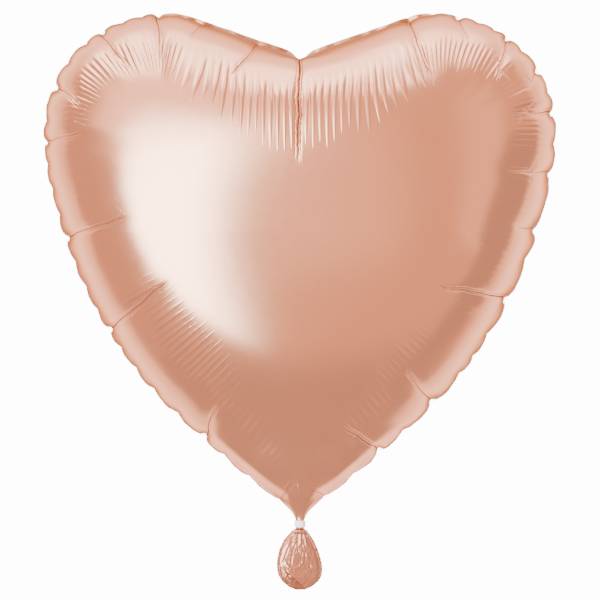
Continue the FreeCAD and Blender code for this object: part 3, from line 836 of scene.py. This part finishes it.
def pleat_group():
    """Narrow ridges that start at one distance from the rim and end in a point at another."""
    tree, given, result = new_group("rim_pleats", ("Phase", "Distance", "Height", "Start", "End"))
    phase, distance, height, start, end = given.outputs[:5]
    chance = tree.nodes.new("ShaderNodeTexWhiteNoise")
    chance.noise_dimensions = "1D"
    tree.links.new(calc(tree, "FLOOR", phase), chance.inputs["W"])
    three = tree.nodes.new("ShaderNodeSeparateColor")
    tree.links.new(chance.outputs["Color"], three.inputs["Color"])
    begin = calc(tree, "MULTIPLY", start, calc(tree, "MULTIPLY_ADD", three.outputs["Red"], 0.25, 0.88))
    finish = calc(tree, "MULTIPLY", end, calc(tree, "MULTIPLY_ADD", three.outputs["Green"], 0.16, 0.88))
    along = span(tree, distance, begin, finish, smooth=False)
    half = calc(tree, "MULTIPLY_ADD", calc(tree, "POWER", along, 2.2), -0.42, 0.48)
    aside = calc(tree, "ABSOLUTE", calc(tree, "SUBTRACT", calc(tree, "FRACT", phase), 0.5))
    spread = calc(tree, "POWER", calc(tree, "DIVIDE", aside, half), 1.6)
    ridge = calc(tree, "MAXIMUM", calc(tree, "SUBTRACT", 1.0, spread), 0.0)
    rise = span(tree, along, 0.0, 0.30)
    fall = calc(tree, "POWER", calc(tree, "MAXIMUM", calc(tree, "SUBTRACT", 1.0, along), 0.0), 0.7)
    tall = calc(tree, "MULTIPLY", height, calc(tree, "MULTIPLY_ADD", three.outputs["Blue"], 0.8, 0.6))
    shape = calc(tree, "MULTIPLY", calc(tree, "MULTIPLY", ridge, rise), fall)
    tree.links.new(calc(tree, "MULTIPLY", shape, tall), result.inputs["Relief"])
    return tree


def line_group():
    """The sharp line in a crease, and a fainter line that wanders beside it, as bump. Shade is painted
    shade along the main line.
    """
    tree, given, result = new_group("crease_lines", ("Aside", "Depth", "Distance"))
    aside, depth, distance = given.outputs[:3]
    drift = tree.nodes.new("ShaderNodeTexNoise")
    drift.noise_dimensions = "1D"
    drift.inputs["Scale"].default_value = 160
    drift.inputs["Detail"].default_value = 2
    tree.links.new(distance, drift.inputs["W"])
    wander = calc(tree, "MULTIPLY_ADD", drift.outputs["Fac"], 0.0026, -0.0013)
    total = 0.0
    for place, sway, width, share in ((0.0, 0.5, 0.00050, 0.42), (0.0016, 0.8, 0.00045, 0.20),
                                      (-0.0022, 0.9, 0.00050, 0.16)):
        middle = calc(tree, "MULTIPLY_ADD", wander, sway, place)
        gap = calc(tree, "ABSOLUTE", calc(tree, "SUBTRACT", aside, middle))
        sharp = calc(tree, "EXPONENT", calc(tree, "MULTIPLY", gap, -1 / width))
        cut = calc(tree, "MULTIPLY", calc(tree, "MULTIPLY", sharp, depth), -share)
        total = calc(tree, "ADD", cut, total)
    tree.links.new(total, result.inputs["Relief"])
    # painted shade: Shade darkens the film's colour along the crease's main line, more where the crease
    # is deeper
    middle = calc(tree, "MULTIPLY_ADD", wander, 0.5, 0.0)
    gap = calc(tree, "ABSOLUTE", calc(tree, "SUBTRACT", aside, middle))
    thin = calc(tree, "EXPONENT", calc(tree, "MULTIPLY", gap, -1 / (0.38 * MM)))
    dark = calc(tree, "MULTIPLY", thin, span(tree, depth, 0.0, 1.2 * MM))
    tree.links.new(dark, result.inputs["Shade"])
    return tree


PLEAT_GROUP = pleat_group()
LINE_GROUP = line_group()
# the stored values that each group reads, in the order of its inputs
PLEAT_LAYERS = ("pleat_phase", "rim_distance", "pleat_height", "pleat_start", "pleat_end")
LINE_LAYERS = ("crease_aside", "crease_depth", "rim_distance")


def foil_material(name, light, dark, edge, roughness, grain, bump, creased=False, crumple=0):
    material, nodes, links = new_material(name)
    tree = material.node_tree
    output = nodes.new("ShaderNodeOutputMaterial")
    shader = nodes.new("ShaderNodeBsdfPrincipled")
    place = nodes.new("ShaderNodeTexCoord")
    cloud = nodes.new("ShaderNodeTexNoise")
    cloud.inputs["Scale"].default_value = 22
    cloud.inputs["Detail"].default_value = 3
    tone = nodes.new("ShaderNodeMix")
    tone.data_type = "RGBA"
    tone.inputs["A"].default_value = (*light, 1)
    tone.inputs["B"].default_value = (*dark, 1)
    fine = nodes.new("ShaderNodeTexNoise")
    fine.inputs["Scale"].default_value = grain
    fine.inputs["Detail"].default_value = 4
    links.new(place.outputs["Object"], cloud.inputs["Vector"])
    links.new(place.outputs["Object"], fine.inputs["Vector"])
    links.new(cloud.outputs["Fac"], tone.inputs["Factor"])
    relief = calc(tree, "MULTIPLY", fine.outputs["Fac"], bump * MM)
    if creased:
        for group, layers in ((PLEAT_GROUP, PLEAT_LAYERS), (LINE_GROUP, LINE_LAYERS)):
            node = nodes.new("ShaderNodeGroup")
            node.node_tree = group
            for slot, layer in enumerate(layers):
                source = nodes.new("ShaderNodeAttribute")
                source.attribute_name = layer
                links.new(source.outputs["Fac"], node.inputs[slot])
            relief = calc(tree, "ADD", relief, node.outputs["Relief"])
    for scale, share in ((85, 1.0), (230, 0.30)):
        if crumple:
            cells = nodes.new("ShaderNodeTexVoronoi")
            cells.feature = "DISTANCE_TO_EDGE"
            cells.inputs["Scale"].default_value = scale
            links.new(place.outputs["Object"], cells.inputs["Vector"])
            sharp = calc(tree, "EXPONENT", calc(tree, "MULTIPLY", cells.outputs["Distance"], -9.0))
            relief = calc(tree, "MULTIPLY_ADD", sharp, -crumple * share * MM, relief)
    lift = nodes.new("ShaderNodeBump")
    lift.inputs["Strength"].default_value = 1.0
    lift.inputs["Distance"].default_value = 1.0
    links.new(relief, lift.inputs["Height"])
    gloss = span(tree, fine.outputs["Fac"], 0.2, 0.8, roughness * 0.9, roughness * 1.1)
    links.new(gloss, shader.inputs["Roughness"])
    shade = nodes.new("ShaderNodeAttribute")
    shade.attribute_name = "fold_shade"
    # painted shade: this tone darkens the colour along the film's crease lines, and on the tail's patch
    # below its slanting fold
    painted_shade = nodes.new("ShaderNodeMix")
    painted_shade.data_type = "RGBA"
    painted_shade.blend_type = "MULTIPLY"
    painted_shade.inputs["B"].default_value = (0.60, 0.46, 0.40, 1)
    links.new(node.outputs["Shade"] if creased else shade.outputs["Fac"], painted_shade.inputs["Factor"])
    links.new(tone.outputs["Result"], painted_shade.inputs["A"])
    links.new(painted_shade.outputs["Result"], shader.inputs["Base Color"])
    links.new(lift.outputs["Normal"], shader.inputs["Normal"])
    shader.inputs["Metallic"].default_value = 1.0
    shader.inputs["Specular Tint"].default_value = (*edge, 1)
    links.new(shader.outputs["BSDF"], output.inputs["Surface"])
    return material


film = foil_material("rose_gold_film", (0.96, 0.49, 0.32), (0.95, 0.47, 0.30),
                     (0.50, 0.31, 0.21), 0.16, 180, 0.01, creased=True)
# painted shade: the welded margins are the same foil, darker and browner to stand in for their tilted,
# folded-back faces
shaded_margin_film = foil_material("welded_margin_painted_shade", (0.62, 0.27, 0.15), (0.54, 0.22, 0.11),
                            (0.45, 0.18, 0.08), 0.28, 900, 0.06)
# painted shade: the tail and the gathered neck are the heart's foil in darker copies, and the tail's back
# sheet darker again
shaded_tail_film = foil_material("shaded_tail_film", (0.80, 0.40, 0.28), (0.74, 0.35, 0.24),
                          (0.62, 0.34, 0.24), 0.24, 500, 0.03, crumple=0.26)
shaded_tail_back_film = foil_material("tail_back_film_painted_shade", (0.74, 0.36, 0.25), (0.66, 0.31, 0.20),
                          (0.58, 0.30, 0.20), 0.26, 500, 0.04, crumple=0.26)


def ribbon_material():
    material, nodes, links = new_material("white_satin")
    output = nodes.new("ShaderNodeOutputMaterial")
    shader = nodes.new("ShaderNodeBsdfPrincipled")
    place = nodes.new("ShaderNodeTexCoord")
    weave = nodes.new("ShaderNodeTexWave")
    weave.bands_direction = "Z"
    weave.inputs["Scale"].default_value = 1500
    weave.inputs["Distortion"].default_value = 0.6
    relief = nodes.new("ShaderNodeBump")
    relief.inputs["Strength"].default_value = 0.3
    relief.inputs["Distance"].default_value = 0.0001
    links.new(place.outputs["Object"], weave.inputs["Vector"])
    links.new(weave.outputs["Fac"], relief.inputs["Height"])
    links.new(relief.outputs["Normal"], shader.inputs["Normal"])
    shader.inputs["Base Color"].default_value = (0.93, 0.94, 0.96, 1)
    shader.inputs["Roughness"].default_value = 0.5
    shader.inputs["Specular IOR Level"].default_value = 0.2
    links.new(shader.outputs["BSDF"], output.inputs["Surface"])
    return material


def clear_material():
    material, nodes, links = new_material("clear_valve_film")
    output = nodes.new("ShaderNodeOutputMaterial")
    shader = nodes.new("ShaderNodeBsdfPrincipled")
    place = nodes.new("ShaderNodeTexCoord")
    haze = nodes.new("ShaderNodeTexNoise")
    haze.inputs["Scale"].default_value = 300
    gloss = nodes.new("ShaderNodeMapRange")
    gloss.inputs["To Min"].default_value = 0.15
    gloss.inputs["To Max"].default_value = 0.35
    links.new(place.outputs["Object"], haze.inputs["Vector"])
    links.new(haze.outputs["Fac"], gloss.inputs["Value"])
    links.new(gloss.outputs["Result"], shader.inputs["Roughness"])
    shader.inputs["Base Color"].default_value = (0.88, 0.90, 0.92, 1)
    shader.inputs["Alpha"].default_value = 0.45
    links.new(shader.outputs["BSDF"], output.inputs["Surface"])
    return material


satin = ribbon_material()
clear = clear_material()


def dress(piece, material):
    piece.data.materials.clear()
    piece.data.materials.append(material)


dress(front_film, film)
dress(back_film, film)
dress(rim_margin, shaded_margin_film)
dress(neck_bundle, shaded_tail_film)
dress(tail_front, shaded_tail_film)
dress(tail_back, shaded_tail_back_film)
dress(tail_margins, shaded_margin_film)
dress(ribbon_band, satin)
dress(ribbon_knot, satin)
for node in ("valve_front_film", "valve_back_film", "valve_side_welds",
             "valve_inlet_front_film", "valve_inlet_back_film"):
    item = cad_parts[node]
    item.data.materials.clear()
    item.data.materials.append(clear)
print("materials on", len(bpy.data.materials), "materials")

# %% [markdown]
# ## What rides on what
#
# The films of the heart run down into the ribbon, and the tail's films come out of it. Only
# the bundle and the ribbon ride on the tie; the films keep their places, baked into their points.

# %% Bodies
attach(neck_bundle, "tie")
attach(ribbon_band, "tie")
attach(ribbon_knot, "tie")
for piece in (front_film, back_film, rim_margin):
    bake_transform(piece)
for piece in (tail_front, tail_back, tail_margins):
    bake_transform(piece)

# %% [markdown]
# ## The films as sheets
#
# Foil hardly stretches. The heart was cut flat at 18 inches, and its area is the blown-up
# film's area: the width that it lost went into the bulge and the creases.

# %% The films as sheets: nothing is set for them here
print("sheet sizes not set")

# %% [markdown]
# ## Light and camera
#
# A satin mirror shows its surroundings, so the look of the foil is painted into the world:
# soft panels, each given by directions seen from the balloon, laid over one another. The
# camera itself sees only white. The two lamps light just the ribbon, which isn't a mirror.

# %% Floor, lights, world and camera
AIM = Vector((0, 0, 0.1635))


def soft_light(name, place, width, height, power, aim=AIM):
    data = bpy.data.lights.new(name, "AREA")
    data.shape = "RECTANGLE"
    data.size = width
    data.size_y = height
    data.energy = power
    lamp = bpy.data.objects.new(name, data)
    lamp.location = place
    lamp.rotation_euler = (Vector(aim) - Vector(place)).to_track_quat("-Z", "Y").to_euler()
    lamp.visible_glossy = False      # the foil mirrors the studio's panels instead
    bpy.context.scene.collection.objects.link(lamp)
    return lamp


soft_light("key_left", (-0.75, -2.1, 0.25), 0.7, 1.3, 80)
soft_light("top", (0.0, -0.4, 2.0), 1.6, 0.8, 12)
FLOOR_HALF, FLOOR_LEVEL = 0.8, -2.4
corners = [(x * FLOOR_HALF, y * FLOOR_HALF, FLOOR_LEVEL) for x, y in ((-1, -1), (1, -1), (1, 1), (-1, 1))]
floor = new_piece("floor", corners, [(0, 1, 2, 3)])
floor_material, floor_nodes, floor_links = new_material("pale_floor")
floor_shader = floor_nodes.new("ShaderNodeBsdfPrincipled")
floor_shader.inputs["Base Color"].default_value = (0.8, 0.8, 0.8, 1)
floor_shader.inputs["Roughness"].default_value = 0.8
floor_output = floor_nodes.new("ShaderNodeOutputMaterial")
floor_links.new(floor_shader.outputs["BSDF"], floor_output.inputs["Surface"])
floor.data.materials.append(floor_material)
floor.visible_glossy = False

world = bpy.data.worlds.new("studio")
world.use_nodes = True
bpy.context.scene.world = world
nodes, links = world.node_tree.nodes, world.node_tree.links
nodes.clear()
path = nodes.new("ShaderNodeLightPath")
around = nodes.new("ShaderNodeTexCoord")


def toward(right, up):
    """The direction so many degrees to the right of the camera's side, and so many up."""
    right, up = math.radians(right), math.radians(up)
    return Vector((math.sin(right) * math.cos(up), -math.cos(right) * math.cos(up), math.sin(up)))


def facing(direction):
    """How far the looked-at direction is to one side of a plane through the balloon."""
    node = nodes.new("ShaderNodeVectorMath")
    node.operation = "DOT_PRODUCT"
    node.inputs[1].default_value = direction
    links.new(around.outputs["Generated"], node.inputs[0])
    return node.outputs["Value"]


def panel(corners):
    """A mask for a panel seen from the balloon: corners (right, up, softness of the edge
    that follows), all in degrees and clockwise as the balloon sees them."""
    mask = None
    for here, there in zip(corners, corners[1:] + corners[:1]):
        normal = toward(*there[:2]).cross(toward(*here[:2])).normalized()
        soft = math.sin(math.radians(here[2])) / 2
        edge = span(STUDIO, facing(normal), -soft, soft)
        mask = edge if mask is None else calc(STUDIO, "MULTIPLY", mask, edge)
    return mask


def lay(ground, mask, colour):
    node = nodes.new("ShaderNodeMix")
    node.data_type = "RGBA"
    links.new(mask, node.inputs["Factor"])
    if isinstance(ground, tuple):
        node.inputs["A"].default_value = (*ground, 1)
    else:
        links.new(ground, node.inputs["A"])
    node.inputs["B"].default_value = (*colour, 1)
    return node.outputs["Result"]


STUDIO = world.node_tree
BEHIND, BELOW, ABOVE = facing((0, 1, 0)), facing((0, 0, -1)), facing((0, 0, 1))
SIDE_LEFT = panel([(-98, 32, 18), (-52, 30, 10), (-46, -40, 18), (-98, -42, 24)])
SIDE_RIGHT = panel([(57, 15, 6), (110, 14, 8), (88, -32, 10),
                    (75, -60, 14), (48, -58, 14), (53, -28, 5)])
PALE_MIDDLE = panel([(-8, 34, 14), (16, 32, 16), (16, -14, 16), (-8, -14, 14)])
PALE_RIGHT = panel([(36, 34, 12), (56, 36, 6), (56, -20, 8), (40, -12, 10)])
HIGH_LEFT = panel([(-100, 72, 8), (-20, 72, 10), (-34, 44, 6),
                   (-66, 40, 6), (-100, 44, 10)])
HIGH_RIGHT = panel([(2, 70, 8), (40, 70, 8), (26, 46, 7), (6, 44, 7)])
SOFT_BOX = panel([(-42, 18, 24), (-25, 28, 24), (-9, 24, 18), (-9, 0, 20), (-17, -40, 8),
                  (-26, -35, 9), (-41, -18, 11), (-45, 4, 12)])
PALE_HIGH = panel([(-58, 16, 16), (-54, 50, 10), (2, 50, 16), (0, 14, 16)])

colour = (1.30, 0.76, 0.52)
colour = lay(colour, SIDE_LEFT, (1.10, 0.65, 0.47))
colour = lay(colour, PALE_MIDDLE, (1.60, 1.00, 0.74))
colour = lay(colour, span(STUDIO, BELOW, 0.60, 0.84), (0.86, 0.57, 0.45))
colour = lay(colour, span(STUDIO, BELOW, 0.88, 0.97), (1.10, 0.66, 0.47))
colour = lay(colour, span(STUDIO, BEHIND, -0.06, 0.20), (2.1, 1.48, 1.18))
colour = lay(colour, span(STUDIO, BEHIND, 0.16, 0.60), (3.1, 2.55, 2.45))
colour = lay(colour, span(STUDIO, BEHIND, 0.60, 1.0), (1.9, 1.3, 1.05))
colour = lay(colour, PALE_RIGHT, (1.62, 1.02, 0.75))
colour = lay(colour, PALE_HIGH, (2.5, 1.8, 1.55))
colour = lay(colour, SIDE_RIGHT, (0.82, 0.55, 0.44))
colour = lay(colour, span(STUDIO, ABOVE, 0.72, 0.93), (4.2, 3.8, 3.7))
colour = lay(colour, HIGH_LEFT, (5.0, 4.8, 4.8))
colour = lay(colour, HIGH_RIGHT, (4.6, 4.3, 4.2))
high_behind = calc(STUDIO, "MULTIPLY", span(STUDIO, ABOVE, 0.6, 0.8), span(STUDIO, BEHIND, -0.05, 0.3))
colour = lay(colour, high_behind, (2.7, 2.1, 1.95))
colour = lay(colour, SOFT_BOX, (8.8, 10.2, 10.6))

room = nodes.new("ShaderNodeBackground")
links.new(colour, room.inputs["Color"])
white = nodes.new("ShaderNodeBackground")
white.inputs["Color"].default_value = (1, 1, 1, 1)
white.inputs["Strength"].default_value = 14
pick = nodes.new("ShaderNodeMixShader")
output = nodes.new("ShaderNodeOutputWorld")
links.new(path.outputs["Is Camera Ray"], pick.inputs["Fac"])
links.new(room.outputs["Background"], pick.inputs[1])
links.new(white.outputs["Background"], pick.inputs[2])
links.new(pick.outputs["Shader"], output.inputs["Surface"])

CAMERA_DISTANCE = 3.0
FRAME_WIDTH = 0.45
camera_data = bpy.data.cameras.new("camera")
camera_data.sensor_width = 36
camera_data.lens = 36 * CAMERA_DISTANCE / FRAME_WIDTH
camera = bpy.data.objects.new("camera", camera_data)
camera.location = (0, -CAMERA_DISTANCE, AIM.z)
camera.rotation_euler = (math.pi / 2, 0, 0)
bpy.context.scene.collection.objects.link(camera)
bpy.context.scene.camera = camera
